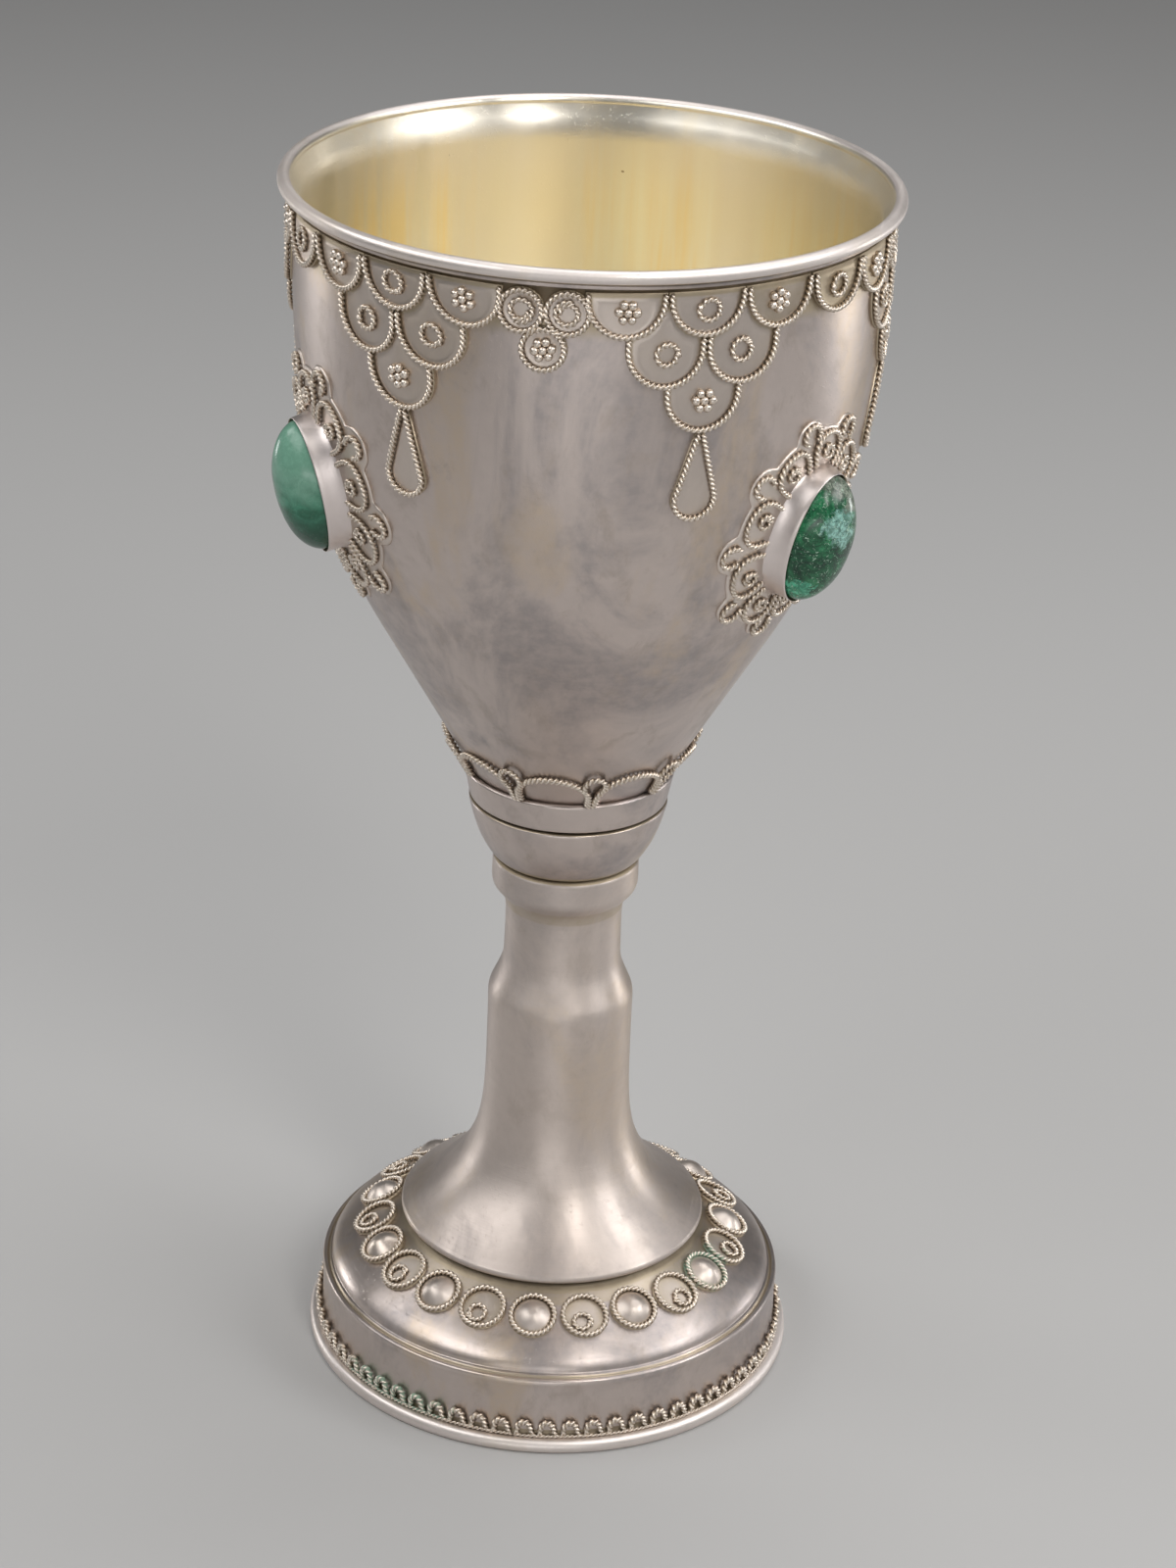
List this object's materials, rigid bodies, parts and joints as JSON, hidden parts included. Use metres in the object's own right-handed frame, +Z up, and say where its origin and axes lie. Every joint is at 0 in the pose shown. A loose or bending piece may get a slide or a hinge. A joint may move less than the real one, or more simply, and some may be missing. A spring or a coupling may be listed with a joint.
{
  "type": "kiddush cup",
  "caption": "Silver kiddush cup: a tall round goblet with applied wire filigree, oval green stones in plain bezels, a waisted stem and a domed hollow foot.",
  "frame": {"origin": "on the bowl's axis, at the underside of the foot", "axes": "+Z up along the axis from foot to rim; -Y towards the front, through a trefoil of the top border; +X to the right seen from the front"},
  "size_m": [0.0816, 0.0836, 0.175],
  "materials": {
    "silver": null,
    "filigree": "twisted silver wire and granules with brown tarnish between them",
    "stone": "polished mottled green cabochon"
  },
  "bodies": {
    "root": {"bowl": "silver", "socket_ring": "silver", "calyx": "silver", "stem": "silver", "foot": "silver", "wavy_wire": "filigree", "arch_border": "filigree", "trefoil_1": "filigree", "trefoil_2": "filigree", "trefoil_3": "filigree", "pendant_1": "filigree", "pendant_2": "filigree", "pendant_3": "filigree", "pendant_4": "filigree", "pendant_5": "filigree", "pendant_6": "filigree", "scallop_1": "filigree", "scallop_2": "filigree", "scallop_3": "filigree", "rosette_1": "filigree", "rosette_2": "filigree", "rosette_3": "filigree", "bezel_1": "silver", "bezel_2": "silver", "bezel_3": "silver", "stone_1": "stone", "stone_2": "stone", "stone_3": "stone", "boss_1": "filigree", "boss_2": "filigree", "boss_3": "filigree", "boss_4": "filigree", "boss_5": "filigree", "boss_6": "filigree", "boss_7": "filigree", "boss_8": "filigree", "boss_9": "filigree", "boss_10": "filigree", "boss_11": "filigree", "eyelet_1": "filigree", "eyelet_2": "filigree", "eyelet_3": "filigree", "eyelet_4": "filigree", "eyelet_5": "filigree", "eyelet_6": "filigree", "eyelet_7": "filigree", "eyelet_8": "filigree", "eyelet_9": "filigree", "eyelet_10": "filigree", "eyelet_11": "filigree"}
  },
  "joints": []
}
